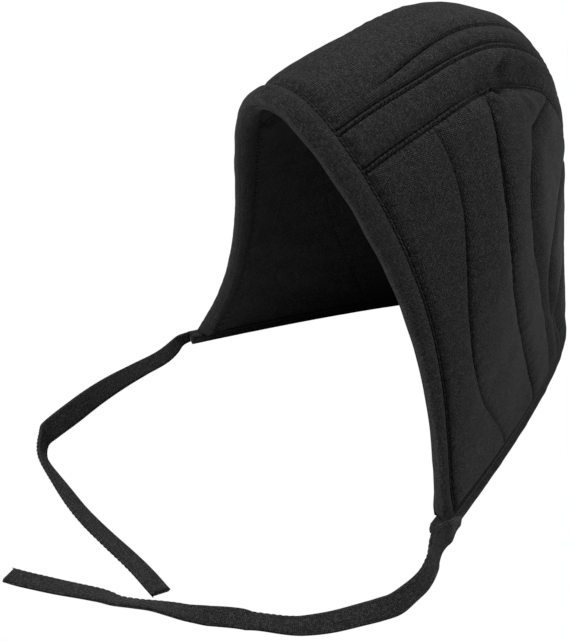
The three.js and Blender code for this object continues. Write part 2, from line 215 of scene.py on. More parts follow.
def up_at(back, z):
    """Length up the pattern where the form is at this height above the floor."""
    back = np.asarray(back, float)
    up = np.full(back.shape, float(z))
    for _ in range(8):
        up = up * z / on_pattern(back, up)[..., 2]
    return up


_lift = np.linspace(0.8, 1, 2001)
_width = half_length(_lift) * np.sin((1 - _lift) * LEAN)


def band_place(share, w):
    """Place at a width from the face edge; share runs from the cheek to the forehead."""
    share, w = np.broadcast_arrays(np.asarray(share, float), np.asarray(w, float))
    back = w / math.sin(LEAN) + TOP_OF_BINDING / math.tan(LEAN)
    foot_up = up_at(np.maximum(back, 0.3), TOP_OF_BINDING)
    top = pattern(np.interp(-w, -_width, _lift), 0)
    return mix(back, top[0], share), mix(foot_up, top[1], share)


_share = np.linspace(0, 1, 3001)
_ell = ell_of(*band_place(_share, SEAM_AT))


def share_at_band(ell):
    return np.interp(-np.asarray(ell, float), -_ell, _share)


def lift_at_band(ell):
    return lift_of(*band_place(share_at_band(ell), SEAM_AT))


def lift_at_binding(ell):
    lift = np.full(np.shape(ell), 0.03)
    for _ in range(8):
        lift = lift * TOP_OF_BINDING / along(lift, ell)[..., 2]
    return lift


def narrow(lift):
    return 1 - CROWN_TAPER * (1 - smooth(0.36, 0.70, lift))


def quilt_line(lift):
    return QUILT_LINE * (1 + QUILT_SPREAD * smooth(0.74, 0.93, lift))


FRONT_LIFT = float(lift_at_band(SIDE_TOP))
BACK_TOP = SIDE_TOP * float(narrow(0))
BACK_LIFT = float(lift_at_binding(BACK_TOP))
ENDS = np.array([
    [band_place(0, SEAM_AT)[0] / RIM_REACH, FRONT_LIFT, 0, 0.43],
    *SIDE_LINES,
    [pattern(BACK_LIFT, BACK_TOP)[0] / RIM_REACH, BACK_LIFT, 0, 0.62],
])


def side_place(line, height):
    """Place on a side panel: line counts the quilting lines back from the band."""
    line, height = np.broadcast_arrays(np.asarray(line, float), np.asarray(height, float))
    k = np.arange(len(ENDS))
    foot = np.interp(line, k, ENDS[:, 0]) * RIM_REACH
    low = up_at(foot, TOP_OF_BINDING)
    lift = np.interp(line, k, ENDS[:, 1])
    head = pattern(lift, SIDE_TOP * narrow(lift))
    bend = np.interp(line, k, ENDS[:, 3])
    bow = (np.interp(line, k, ENDS[:, 2]) * RIM_REACH * (height / bend) ** BOW_RISE
           * ((1 - height) / (1 - bend)) ** (BOW_RISE * (1 - bend) / bend))
    return mix(foot, head[0], height) - bow, mix(low, head[1], height)


# ---- camera, fitted to the photo ----
AZIMUTH = math.radians(51.8)
ELEVATION = math.radians(32.3)
DISTANCE = 0.630
TARGET = Vector((-89.785, -47.67, 6.61)) * MM
FOCAL_PIXELS = 894.6
PICTURE_HEIGHT = 641
SENSOR = 36


def camera():
    data = bpy.data.cameras.new("camera")
    data.sensor_fit = "AUTO"
    data.sensor_width = SENSOR
    data.lens = FOCAL_PIXELS / PICTURE_HEIGHT * SENSOR
    data.clip_start, data.clip_end = 0.01, 20
    eye = bpy.data.objects.new("camera", data)
    a, e = AZIMUTH, ELEVATION
    way = Vector((math.sin(a) * math.cos(e), -math.cos(a) * math.cos(e), math.sin(e)))
    eye.location = TARGET + way * DISTANCE
    eye.rotation_euler = (-way).to_track_quat("-Z", "Y").to_euler()
    bpy.context.scene.collection.objects.link(eye)
    bpy.context.scene.camera = eye


# ---- pieces ----
def mesh_piece(name, points, faces, uv, material):
    """A mesh from points in millimetres, with its faces turned outwards."""
    points = np.asarray(points, float)
    faces = np.asarray(faces)
    a, b, c, d = (points[faces[:, k]] for k in range(4))
    volume = (np.cross(b - a, c - a) * (a + b + c)).sum() + (np.cross(c - a, d - a) * (a + c + d)).sum()
    if volume < 0:
        faces = faces[:, ::-1]
    me = bpy.data.meshes.new(name)
    me.from_pydata((points * MM).tolist(), [], faces.tolist())
    layer = me.uv_layers.new(name="cloth")
    layer.data.foreach_set("uv", (np.asarray(uv)[faces.ravel()] * MM).ravel().astype("f"))
    me.polygons.foreach_set("use_smooth", [True] * len(faces))
    me.materials.append(material)
    me.update()
    piece = bpy.data.objects.new(name, me)
    bpy.context.scene.collection.objects.link(piece)
    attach(piece, "root")
    return piece


def tube_faces(rings, around):
    i = np.arange(rings - 1)[:, None] * around
    j = np.arange(around)[None, :]
    k = (j + 1) % around
    return np.stack([i + j, i + around + j, i + around + k, i + k], axis=-1).reshape(-1, 4)


def tube_piece(name, rings, uv, material):
    """Closed tube through rings of points; its ends close on their middles."""
    n, m = rings.shape[:2]

    def closed(rows):
        ends = ((0, 0.02), (0, 0.55), (-1, 0.55), (-1, 0.02))
        shrunk = [mix(rows[k].mean(axis=0), rows[k], s) for k, s in ends]
        return np.concatenate([shrunk[:2], rows, shrunk[2:]])

    points, flat = closed(rings), closed(uv)
    caps = np.array([[a, a + 1, m - 2 - a, m - 1 - a] for a in range(m // 2 - 1)])
    faces = np.concatenate([tube_faces(n + 4, m), caps, (caps + (n + 3) * m)[:, ::-1]])
    return mesh_piece(name, points.reshape(-1, 3), faces, flat.reshape(-1, 2), material)


def shell_piece(name, outer, inner, uv, material):
    """Closed shell from matching grids of outer and inner points."""
    n, m = outer.shape[:2]
    grid = np.arange(n * m).reshape(n, m)
    quads = np.stack([grid[:-1, :-1], grid[1:, :-1], grid[1:, 1:], grid[:-1, 1:]], axis=-1).reshape(-1, 4)
    edge = np.concatenate([grid[:, 0], grid[-1, 1:], grid[-2::-1, -1], grid[0, -2:0:-1]])
    after = np.roll(edge, -1)
    rim = np.stack([after, edge, edge + n * m, after + n * m], axis=-1)
    faces = np.concatenate([quads, (quads + n * m)[:, ::-1], rim])
    points = np.concatenate([outer.reshape(-1, 3), inner.reshape(-1, 3)])
    return mesh_piece(name, points, faces, np.concatenate([uv.reshape(-1, 2)] * 2), material)


# ---- materials ----
def group(name, inputs, outputs):
    tree = bpy.data.node_groups.new(name, "ShaderNodeTree")
    for label, kind, value in inputs:
        socket = tree.interface.new_socket(label, in_out="INPUT", socket_type=kind)
        if value is not None:
            socket.default_value = value
    for label, kind in outputs:
        tree.interface.new_socket(label, in_out="OUTPUT", socket_type=kind)
    return tree


class Nodes:
    """Short calls that add nodes to a tree and link their inputs."""

    def __init__(self, tree):
        self.tree = tree

    def node(self, kind, **settings):
        n = self.tree.nodes.new(kind)
        for key, value in settings.items():
            setattr(n, key, value)
        return n

    def put(self, socket, value):
        if isinstance(value, bpy.types.NodeSocket):
            self.tree.links.new(value, socket)
        else:
            socket.default_value = value

    def math(self, op, *values):
        n = self.node("ShaderNodeMath", operation=op)
        for k, value in enumerate(values):
            self.put(n.inputs[k], value)
        return n.outputs[0]

    def noise(self, vector, scale, detail=2.0, rough=0.5):
        n = self.node("ShaderNodeTexNoise")
        self.put(n.inputs["Vector"], vector)
        n.inputs["Scale"].default_value = scale
        n.inputs["Detail"].default_value = detail
        n.inputs["Roughness"].default_value = rough
        return n.outputs["Fac"]

    def range(self, value, a, b, c, d):
        """The value carried from the range a to b over to c to d."""
        n = self.node("ShaderNodeMapRange")
        for k, v in enumerate((value, a, b, c, d)):
            self.put(n.inputs[k], v)
        return n.outputs[0]

    def colours(self, factor, dark, light):
        n = self.node("ShaderNodeMix", data_type="RGBA")
        self.put(n.inputs["Factor"], factor)
        n.inputs["A"].default_value = (*dark, 1)
        n.inputs["B"].default_value = (*light, 1)
        return n.outputs["Result"]

    def bump(self, height, strength, distance):
        n = self.node("ShaderNodeBump")
        n.inputs["Strength"].default_value = strength
        n.inputs["Distance"].default_value = distance
        self.put(n.inputs["Height"], height)
        return n


def new_material(name):
    material = bpy.data.materials.new(name)
    material.use_nodes = True
    return material, Nodes(material.node_tree), material.node_tree.nodes["Principled BSDF"]


def plain_weave():
    """Over and under of warp and weft: height of the threads and a shade for each."""
    tree = group("plain_weave",
                 [("Vector", "NodeSocketVector", None), ("Threads", "NodeSocketFloat", 1300.0)],
                 [("Height", "NodeSocketFloat"), ("Shade", "NodeSocketFloat")])
    t = Nodes(tree)
    start = t.node("NodeGroupInput")
    end = t.node("NodeGroupOutput")
    # threads wander a little from the straight
    wander = t.node("ShaderNodeTexNoise")
    t.put(wander.inputs["Vector"], start.outputs["Vector"])
    wander.inputs["Scale"].default_value = 160.0
    split = t.node("ShaderNodeSeparateXYZ")
    t.put(split.inputs[0], start.outputs["Vector"])
    off = t.node("ShaderNodeSeparateColor")
    t.put(off.inputs[0], wander.outputs["Color"])
    axes = []
    for k in range(2):
        a = t.math("MULTIPLY", split.outputs[k], start.outputs["Threads"])
        axes.append(t.math("ADD", a, t.math("MULTIPLY", off.outputs[k], 1.1)))
    u, v = axes
    fu, fv = t.math("FLOOR", u), t.math("FLOOR", v)
    parity = t.math("FLOORED_MODULO", t.math("ADD", fu, fv), 2.0)
    sign = t.math("SUBTRACT", 1.0, t.math("MULTIPLY", parity, 2.0))
    a = t.math("SINE", t.math("MULTIPLY", t.math("FRACT", u), math.pi))
    b = t.math("SINE", t.math("MULTIPLY", t.math("FRACT", v), math.pi))
    warp = t.math("MULTIPLY", t.math("POWER", a, 0.7),
                  t.math("ADD", 0.55, t.math("MULTIPLY", t.math("MULTIPLY", sign, b), 0.45)))
    weft = t.math("MULTIPLY", t.math("POWER", b, 0.7),
                  t.math("SUBTRACT", 0.55, t.math("MULTIPLY", t.math("MULTIPLY", sign, a), 0.45)))
    t.put(end.inputs["Height"], t.math("MAXIMUM", warp, weft))
    # each thread has a shade, and each crossing one of its own
    shades = []
    for f in (fu, fv):
        white = t.node("ShaderNodeTexWhiteNoise", noise_dimensions="1D")
        t.put(white.inputs["W"], f)
        shades.append(white.outputs["Value"])
    over = t.math("GREATER_THAN", warp, weft)
    kept = t.math("ADD", t.math("MULTIPLY", shades[0], over),
                  t.math("MULTIPLY", shades[1], t.math("SUBTRACT", 1.0, over)))
    cell = t.node("ShaderNodeCombineXYZ")
    t.put(cell.inputs[0], fu)
    t.put(cell.inputs[1], fv)
    crossing = t.node("ShaderNodeTexWhiteNoise", noise_dimensions="2D")
    t.put(crossing.inputs["Vector"], cell.outputs[0])
    t.put(end.inputs["Shade"], t.math("ADD", t.math("MULTIPLY", kept, 0.3),
                                      t.math("MULTIPLY", crossing.outputs["Value"], 0.7)))
    return tree


def cotton_wear():
    """Patches where black cotton has faded, slubs in its yarn, and rumpling."""
    tree = group("cotton_wear",
                 [("Vector", "NodeSocketVector", None)],
                 [("Faded", "NodeSocketFloat"), ("Slub", "NodeSocketFloat"), ("Rumple", "NodeSocketFloat")])
    t = Nodes(tree)
    start = t.node("NodeGroupInput")
    end = t.node("NodeGroupOutput")
    at = start.outputs["Vector"]
    t.put(end.inputs["Faded"], t.noise(at, 26.0, 4.0, 0.6))
    t.put(end.inputs["Slub"], t.range(t.noise(at, 1150.0, 2.0, 0.75), 0.36, 0.64, 0.0, 1.0))
    t.put(end.inputs["Rumple"], t.noise(at, 170.0, 3.0, 0.55))
    return tree


WEAVE = plain_weave()
WEAR = cotton_wear()


def cloth(name, threads, dark, light, weave_depth, rumple_depth):
    """Woven cotton with this many threads a metre: painted shade makes it dark between them, lighter on
    them.
    """
    material, t, shader = new_material(name)
    where = t.node("ShaderNodeUVMap", uv_map="cloth")
    place = t.node("ShaderNodeTexCoord")
    weave = t.node("ShaderNodeGroup", node_tree=WEAVE)
    t.put(weave.inputs["Vector"], where.outputs[0])
    weave.inputs["Threads"].default_value = threads
    wear = t.node("ShaderNodeGroup", node_tree=WEAR)
    t.put(wear.inputs["Vector"], place.outputs["Object"])
    height, shade = weave.outputs["Height"], weave.outputs["Shade"]
    # painted shade: the colour darkens with the weave's height into the hollows between the threads; the
    # random shades of threads and crossings, the faded patches and the slubs are the cotton's own tone
    tone_with_weave_shade = t.math("MULTIPLY", t.math("POWER", height, 1.5),
                  t.math("ADD", 0.1, t.math("MULTIPLY", shade, 0.9)))
    tone_with_weave_shade = t.math("MULTIPLY", tone_with_weave_shade, t.math("ADD", 0.6, t.math("MULTIPLY", wear.outputs["Faded"], 0.8)))
    tone_with_weave_shade = t.math("MULTIPLY", tone_with_weave_shade, t.math("ADD", 0.15, t.math("MULTIPLY", wear.outputs["Slub"], 1.7)))
    t.put(shader.inputs["Base Color"], t.colours(tone_with_weave_shade, dark, light))
    t.put(shader.inputs["Roughness"], t.range(wear.outputs["Faded"], 0.3, 0.7, 0.82, 0.95))
    shader.inputs["Specular IOR Level"].default_value = 0.12
    shader.inputs["Sheen Weight"].default_value = 0.03
    shader.inputs["Sheen Roughness"].default_value = 0.5
    shader.inputs["Sheen Tint"].default_value = (0.8, 0.8, 0.82, 1)
    rumple = t.bump(wear.outputs["Rumple"], 0.8, rumple_depth * MM)
    woven = t.bump(height, 0.8, weave_depth * MM)
    t.put(woven.inputs["Normal"], rumple.outputs["Normal"])
    t.put(shader.inputs["Normal"], woven.outputs["Normal"])
    return material


def sewing_thread():
    """Black twisted sewing thread, a little glossier than the cloth."""
    material, t, shader = new_material("sewing_thread")
    place = t.node("ShaderNodeTexCoord")
    ply = t.noise(place.outputs["Object"], 2600.0, 1.0)
    t.put(shader.inputs["Base Color"], t.colours(ply, (0.002, 0.002, 0.002), (0.02, 0.02, 0.021)))
    t.put(shader.inputs["Roughness"], t.range(ply, 0.3, 0.7, 0.45, 0.7))
    shader.inputs["Specular IOR Level"].default_value = 0.2
    t.put(shader.inputs["Normal"], t.bump(ply, 0.6, 0.1 * MM).outputs["Normal"])
    return material


BLACK = (0.001, 0.001, 0.001)
FADED_BLACK = (0.036, 0.036, 0.0365)
CANVAS = cloth("quilted_canvas", 1050.0, BLACK, FADED_BLACK, 0.60, 0.45)
BAND_CANVAS = cloth("band_canvas", 1050.0, BLACK, FADED_BLACK, 0.60, 0.40)
TAPE = cloth("canvas_tape", 1150.0, BLACK, (0.037, 0.037, 0.0375), 0.55, 0.30)
THREAD = sewing_thread()


# ---- ties ----
# Stations of each: out from the cheek corner, forward from it, roll of the flat strip in
# degrees and its share of the full width
TIE_LEFT = [
    [-1.8, -14, 90, 0.6], [0.3, -7.3, 90, 1.1], [2.1, -0.6, 86, 1.4], [2, 4.5, 78, 1.4],
    [3, 10.5, 68, 1.32], [6.4, 16, 64, 1.09], [10, 20.8, 62, 1.04], [14.4, 30.8, 58, 1.01],
    [15.8, 41.3, 52, 0.95], [15.5, 50.9, 32, 0.91], [12.7, 58, 16, 0.96], [9.1, 66.5, 9, 0.98],
    [2.7, 81.6, 5, 0.98], [-6.2, 95.5, -1, 0.98], [-17.3, 106.8, -7, 0.98], [-24.8, 113, 5, 0.98],
    [-36.4, 124.3, -1, 0.98], [-42, 130.5, -12, 0.98], [-48, 135.8, -21, 0.98], [-54.4, 141.8, -32, 0.98],
    [-61, 148.3, -34, 0.97], [-68, 154.2, -31, 0.97], [-76.7, 158.8, -22, 0.96], [-92.4, 170.6, -16, 0.96],
    [-107.3, 181.5, -12, 0.96], [-115.6, 187.3, -14, 0.96],
]
TIE_RIGHT = [
    [-4.2, 2.3, 90, 0.72], [-4.6, 7, 94, 0.75], [-5.6, 10.8, 110, 0.77], [-8.6, 17.5, 136, 0.81],
    [-11.6, 25, 149, 0.88], [-13.3, 32, 156, 0.95], [-14.1, 39, 160, 1], [-15.2, 46.8, 159, 1.03],
    [-19.8, 67.1, 150, 1.11], [-26, 86.3, 138, 1.14], [-33, 104.7, 133, 1.15], [-39.2, 122.3, 134, 1.08],
    [-45.4, 129.6, 108, 1], [-54.9, 135.3, 109, 0.96], [-65, 137.9, 121, 0.96], [-83.4, 139, 136, 0.96],
    [-102.7, 139.7, 148, 0.96], [-119.6, 139.2, 155, 0.96], [-136.3, 137.6, 159, 0.96],
    [-160.8, 134.9, 164, 0.96], [-182, 134.4, 162, 0.96],
]


def tie_section():
    """Section of the folded tape: width and thickness shares, fold on one edge."""
    top = []
    for w in np.linspace(-1, 1, 13):
        round_off = math.sqrt(max(0.0, 1 - max(0.0, (abs(w) - 0.88) / 0.12) ** 2))
        ply = 1.0 - 0.16 * math.exp(-((w - 0.80) / 0.05) ** 2)
        top.append([w / 2, 0.5 * round_off * ply])
    top = np.array(top)
    return np.concatenate([top[:-1], (top * [1, -1])[:0:-1]])


def tie(name, table, side):
    """A tie along its table; gives its middle line and the frame for its topstitching."""
    count = 300
    run = through(table, np.linspace(0, 1, count))
    centre = np.stack([CORNER_HALF_WIDTH + run[:, 0], CORNER_Y - run[:, 1], np.zeros(count)], axis=-1)
    way = unit(np.gradient(centre, axis=0))
    roll = np.radians(run[:, 2])[:, None]
    up = np.array([0, 0, 1.0])
    wide = np.cross(way, up) * np.cos(roll) + up * np.sin(roll)
    thick = np.cross(wide, way)
    share = run[:, 3:]
    low = np.abs(np.sin(roll)) * share * TIE_WIDTH / 2 + np.abs(np.cos(roll)) * TIE_THICKNESS / 2
    centre[:, 2] = low[:, 0] + TIE_LIFT
    length = arc(centre)
    section = tie_section()
    s = length[:, None]
    # the left tie lies pressed against the binding at first
    full = 0.35 + 0.65 * smooth(3, 17, s) if side > 0 else np.ones_like(s)
    body = centre - thick * (1 - full) * TIE_THICKNESS / 2
    waver = (0.25 * np.sin(s / 9.0 + 1.3) + 0.18 * np.sin(s / 4.1)) * section[:, 0] * 0.6
    height = section[:, 1] * full * TIE_THICKNESS + waver
    width = share * TIE_WIDTH * (0.98 + 0.02 * np.sin(s / 13.0 + side))
    rings = (body[:, None] + wide[:, None] * (section[:, 0] * width)[..., None]
             + thick[:, None] * height[..., None])
    rings[..., 2] = np.maximum(rings[..., 2], TIE_LIFT)
    rings = rings * [side, 1, 1]
    uv = np.stack([np.broadcast_to(s, rings.shape[:2]), section[None, :, 0] * share * TIE_WIDTH], axis=-1)
    piece = tube_piece(name, rings, uv, TAPE)
    return body * [side, 1, 1], wide * share * [side, 1, 1], thick * full * [side, 1, 1]


camera()
tie_frames = {"left": tie("tape_left", TIE_LEFT, 1), "right": tie("tape_right", TIE_RIGHT, -1)}
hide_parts("tie_left")
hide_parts("tie_right")


# ---- padding, seams and folds ----
def line_points(k, count=160):
    h = np.linspace(0, 1, count)
    return np.stack(side_place(float(k), h), axis=-1)


def across_points(ell, count=220):
    """A line that keeps its share of the crown's width, or the crown's quilting line."""

    def wide(lift):
        return (ell if ell else quilt_line(lift)) * narrow(lift)

    lift = np.linspace(lift_at_binding(wide(0.0)), lift_at_band(wide(FRONT_LIFT)), count)
    return np.stack(pattern(lift, wide(lift)), axis=-1)


ROWS = {
    "band": np.stack(band_place(np.linspace(0, 1, 260), SEAM_AT), axis=-1),
    "crown": across_points(CROWN_HALF_WIDTH),
    "side": across_points(CROWN_HALF_WIDTH + STRIP_WIDTH),
    "middle": across_points(0),
    **{f"line{k}": line_points(k) for k in range(1, 6)},
}


def distance(row, back, up):
    """Distance to a row of the pattern, and the place along the row from 0 to 1."""
    line = ROWS[row]
    flat = np.stack([np.ravel(back), np.ravel(up)], axis=-1)
    best = np.empty(len(flat))
    place = np.empty(len(flat))
    a, b = line[:-1], line[1:]
    d = b - a
    for i in range(0, len(flat), 20000):
        p = flat[i:i + 20000]
        t = np.clip(((p[:, None] - a) * d).sum(-1) / (d * d).sum(-1), 0, 1)
        r = np.linalg.norm(p[:, None] - a - d * t[..., None], axis=-1)
        k = r.argmin(axis=1)
        n = np.arange(len(p))
        best[i:i + 20000] = r[n, k]
        place[i:i + 20000] = (k + t[n, k]) / len(a)
    return best.reshape(np.shape(back)), place.reshape(np.shape(back))


def walk(row, s):
    """Points at lengths along a row of the pattern, and the way beside it there."""
    line = ROWS[row]
    length = arc(line)
    back, up = np.interp(s, length, line[:, 0]), np.interp(s, length, line[:, 1])
    run = unit(np.gradient(np.stack([back, up], axis=-1), axis=0))
    return back, up, np.stack([run[:, 1], -run[:, 0]], axis=-1)


def waves(back, up, size, seed):
    """Soft unevenness between about -1 and 1."""
    rng = np.random.default_rng(seed)
    total = 0
    for _ in range(7):
        angle, phase = rng.uniform(0, math.pi), rng.uniform(0, 2 * math.pi)
        k = 2 * math.pi / (size * rng.uniform(0.7, 1.6))
        total = total + np.sin(k * (back * math.cos(angle) + up * math.sin(angle)) + phase)
    return total / 4.5


def puff(e, wide=PUFF):
    """How far a face sinks beside a seam: sharp at the stitches, then rounding out."""
    tight = 1 - np.sqrt(np.maximum(0, 1 - (1 - np.clip(e / wide, 0, 1)) ** 2))
    return 0.8 * tight + 0.2 * (1 - np.clip(e / (2.4 * wide), 0, 1)) ** 2


# Folds along the quilting lines: how deep, how wide before and behind the line
FOLDS = {"line1": (0.5, 5, 5), "line2": (1.6, 6, 5), "line3": (6.0, 4, 7),
         "line4": (7.2, 5, 6), "line5": (5.2, 6, 6)}
# Hollows, and swells below zero: back, up, long, wide, turn in degrees, depth
HOLLOWS = [
    [79, 219, 11, 9, 0, 4.0],
    [114, 219, 26, 11, -18, 4.5],
    [116, 187, 20, 9, -40, 3.0],
    [145, 214, 22, 6.5, -34, -2.25],
    [119.5, 218.5, 16, 9, -22, 3.6],
    [107.5, 206.5, 9, 1.9, -60, 1.3],
    [122.6, 202, 10, 1.9, -44, 1.2],
]
# Crease that crosses a strip and runs into the second quilting line: lift, length
CREASE = np.stack(pattern(np.array([0.665, 0.68, 0.70, 0.715, 0.705, 0.69]),
                          np.array([41.0, 46.5, 51.4, 58.0, 64.0, 73.0])), axis=-1)


def crease(back, up):
    """Cloth that drops behind a crease and stands a little proud before it."""
    line = CREASE
    a, b = line[:-1], line[1:]
    d = b - a
    p = np.stack([back, up], axis=-1)[..., None, :]
    t = np.clip(((p - a) * d).sum(-1) / (d * d).sum(-1), 0, 1)
    gap = np.linalg.norm(p - a - d * t[..., None], axis=-1)
    k = gap.argmin(axis=-1)
    near = np.take_along_axis(gap, k[..., None], axis=-1)[..., 0]
    place = (k + np.take_along_axis(t, k[..., None], axis=-1)[..., 0]) / len(a)
    way = d[k]
    off = p[..., 0, :] - a[k]
    behind = way[..., 0] * off[..., 1] - way[..., 1] * off[..., 0] > 0
    ends = smooth(0, 0.3, place) * (1 - smooth(0.75, 1.0, place))
    drop = 6.4 * (1 - np.exp(-(near / 1.3) ** 2)) * np.exp(-(near / 20) ** 2)
    return ends * np.where(behind, drop, -0.9 * np.exp(-((near - 3) / 4) ** 2))


def relief(back, up, side):
    """How far the cloth lies below the outer form: seams' share of SEAM_DIP, and folds."""
    seed = 11 if side > 0 else 29
    near_felled = np.full(np.shape(back), 1e3)
    depth = np.zeros(np.shape(back))
    for row in ("band", "crown", "side"):
        d, place = distance(row, back, up)
        near_felled = np.minimum(near_felled, np.where(d < FELL, 0, d - FELL))
        s = place * arc(ROWS[row])[-1]
        tug = np.sin(2 * math.pi * s / 6.3 + 2.2 * np.sin(s / 17.0 + seed))
        depth += 0.26 * tug * np.exp(-((np.maximum(d - FELL, 0) - 2.5) / 2.5) ** 2)
        depth += 0.6 * np.exp(-((d - FELL) / 0.9) ** 2)
    dip = puff(near_felled)
    z = on_pattern(back, up)[..., 2] - TOP_OF_BINDING
    dip = np.maximum(dip, puff(np.maximum(z, 0)))
    for row in ("middle", "line1", "line2", "line3", "line4", "line5"):
        d, place = distance(row, back, up)
        strength = LINE_SINK.get(row, DEFAULT_SINK)
        if row == "middle":
            strength = 1 - smooth(0.86, 0.95, place)
        s = place * arc(ROWS[row])[-1]
        tug = np.sin(2 * math.pi * s / 7.1 + 2.0 * np.sin(s / 15.0 + seed))
        depth += (0.24 * tug * np.exp(-((d - 2.5) / 2.6) ** 2) + 0.7 * np.exp(-d ** 2)) * strength
        dip = np.maximum(dip, strength * puff(d))
        if row in FOLDS:
            deep, before, behind = FOLDS[row]
            line = ROWS[row]
            k = np.clip((place * (len(line) - 1)).astype(int), 0, len(line) - 2)
            run = line[k + 1] - line[k]
            cross = run[..., 0] * (up - line[k][..., 1]) - run[..., 1] * (back - line[k][..., 0])
            wide = np.where(cross > 0, before, behind)
            depth += deep * np.exp(-(d / wide) ** 2) * np.sin(math.pi * place) ** 0.6
    for hb, hu, long, wide, turn, deep in HOLLOWS:
        c, s = math.cos(math.radians(turn)), math.sin(math.radians(turn))
        dx, dy = back - hb, up - hu
        far = ((dx * c + dy * s) / long) ** 2 + ((dy * c - dx * s) / wide) ** 2
        depth += deep * np.exp(-far)
    depth += crease(back, up)
    calm = np.clip(near_felled / 12, 0, 1) * np.clip(z / 12, 0, 1)
    depth += calm * (0.45 * waves(back, up, 34, seed) + 0.18 * waves(back, up, 13, seed + 1))
    return dip * SEAM_DIP, depth


def cloth_shell(name, back, up, side, node, uv, foot_row):
    """Padded panel of one half over a grid of the pattern."""
    dip, depth = relief(back, up, side)
    outer = skin(back, up, dip + depth, side)
    slack = 1.1 * waves(back, up, 40, 5) + 0.5 * waves(back, up, 17, 6)
    inner = skin(back, up, PAD - dip + INNER_SHARE * depth + slack * (1 - dip / SEAM_DIP) ** 2, side)
    outer[foot_row][..., 2] = TOP_OF_BINDING
    inner[foot_row][..., 2] = TOP_OF_BINDING
    piece = shell_piece(name, outer, inner, uv, CANVAS)
    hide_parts(node)


def uneven(count, sharp):
    """Shares from 0 to 1 that lie closer together at both ends."""
    t = np.linspace(0, 1, count)
    return mix(t, (1 - np.cos(math.pi * t)) / 2, sharp)


def side_panels():
    lines = np.concatenate([k + uneven(35, 0.55)[:-1] for k in range(6)] + [[6.0]])
    heights = uneven(176, 0.35)
    back, up = side_place(lines[:, None], heights[None, :])
    uv = np.stack([back, up], axis=-1)
    for side, label in ((1, "left"), (-1, "right")):
        cloth_shell(f"side_{label}", back, up, side, f"side_panel_{label}", uv, (slice(None), 0))


def across(columns, count):
    """Grid over the head: columns gives flat lengths from the middle at each lift."""
    share = uneven(count, 0.3)[:, None]
    lift = mix(BACK_LIFT, FRONT_LIFT, share)
    for _ in range(5):
        flat = columns(lift)
        own = np.abs(flat) * narrow(lift)
        lift = mix(lift_at_binding(own), lift_at_band(own), share)
    back, up = pattern(lift, own)
    far = np.broadcast_to(share * HEAD_LENGTH, back.shape)
    return back, up, np.stack([far, flat * narrow(lift)], axis=-1), np.sign(flat)


def crown():
    edge = CROWN_HALF_WIDTH - GAP / 2
    u = np.concatenate([np.linspace(0, 1, 36), 1 + uneven(21, 0.3)[1:]])
    u = np.concatenate([-u[:0:-1], u])[None, :]

    def columns(lift):
        line = quilt_line(lift)
        return np.sign(u) * np.where(np.abs(u) < 1, np.abs(u) * line, mix(line, edge, np.abs(u) - 1))

    back, up, uv, sign = across(columns, 236)
    sign = np.where(sign < 0, -1.0, 1.0)[..., None] * np.array([1, 0, 0]) + np.array([0, 1, 1])
    dip, depth = relief(back, up, 1)
    outer = skin(back, up, dip + depth) * sign
    inner = skin(back, up, PAD - dip + INNER_SHARE * depth) * sign
    outer[0, :, 2] = TOP_OF_BINDING
    inner[0, :, 2] = TOP_OF_BINDING
    piece = shell_piece("crown", outer, inner, uv, CANVAS)
    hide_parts("crown_panel")


def strips():
    ells = mix(CROWN_HALF_WIDTH + GAP / 2, CROWN_HALF_WIDTH + STRIP_WIDTH - GAP / 2, uneven(35, 0.3))
    back, up, uv, _ = across(lambda lift: ells + 0 * lift, 236)
    for side, label in ((1, "left"), (-1, "right")):
        cloth_shell(f"strip_cloth_{label}", back, up, side, f"strip_{label}", uv, (0, slice(None)))


# Across the band and down through it, as shares of its width and the padding
BAND_SECTION = [
    [0.00, 0.50], [0.03, 0.26], [0.11, 0.08], [0.26, -0.03], [0.45, -0.06], [0.66, -0.04], [0.82, 0.04],
    [0.94, 0.20], [1.00, 0.34], [1.00, 0.50], [1.00, 0.66], [0.94, 0.80], [0.82, 0.96], [0.66, 1.04],
    [0.45, 1.06], [0.26, 1.03], [0.11, 0.92], [0.03, 0.74],
]


def rows_uv(s, around, shape):
    return np.stack([np.broadcast_to(s, shape), np.broadcast_to(around, shape)], axis=-1)


def whole_row(left, right):
    """Rings from the left end to the right end, with one shared ring in the middle."""
    middle = left[-1:].copy()
    middle[..., 0] = 0
    return np.concatenate([left[:-1], middle, right[:-1][::-1]])


def band():
    section = np.array(BAND_SECTION)
    # one more point between each two of the section
    t = np.arange(len(section) * 2) / 2
    ends = np.concatenate([section[-1:], section, section[:2]])
    i = t.astype(int)
    f = (t - i)[:, None]
    p0, p1, p2, p3 = ends[i], ends[i + 1], ends[i + 2], ends[(i + 3) % len(ends)]
    fine = spline(p0, p1, p2, p3, f)
    wide, deep = fine[None, :, 0], fine[None, :, 1]
    inside = np.clip(wide, 0, 1)
    share = np.linspace(0, 1, 261)[:, None]
    s = share * BAND_HALF_LENGTH
    uneven_edge = 0.6 * (1 + waves(s, 0 * share, 23, 12)) * (1 - inside) ** 2
    back, up = band_place(share, inside * BAND_WIDTH + uneven_edge)
    halves = []
    for side, seed in ((1, 3), (-1, 8)):
        dent = 0.35 * waves(s, wide * 9, 17, seed) + 0.2 * waves(s, wide * 14, 7, seed + 1)
        outside = np.clip(1 - deep, 0, 1)
        d = deep * PAD + dent * np.sin(math.pi * inside) * (2 * outside - 1)
        ring = skin(back, up, d, side)
        ring[0, :, 2] = TOP_OF_BINDING
        halves.append(ring)
    rings = whole_row(*halves)
    along_band = np.linspace(-BAND_HALF_LENGTH, BAND_HALF_LENGTH, len(rings))[:, None]
    uv = rows_uv(along_band, arc(fine * [BAND_WIDTH, PAD]), rings.shape[:2])
    piece = tube_piece("face_band_cloth", rings, uv, BAND_CANVAS)
    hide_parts("face_band")


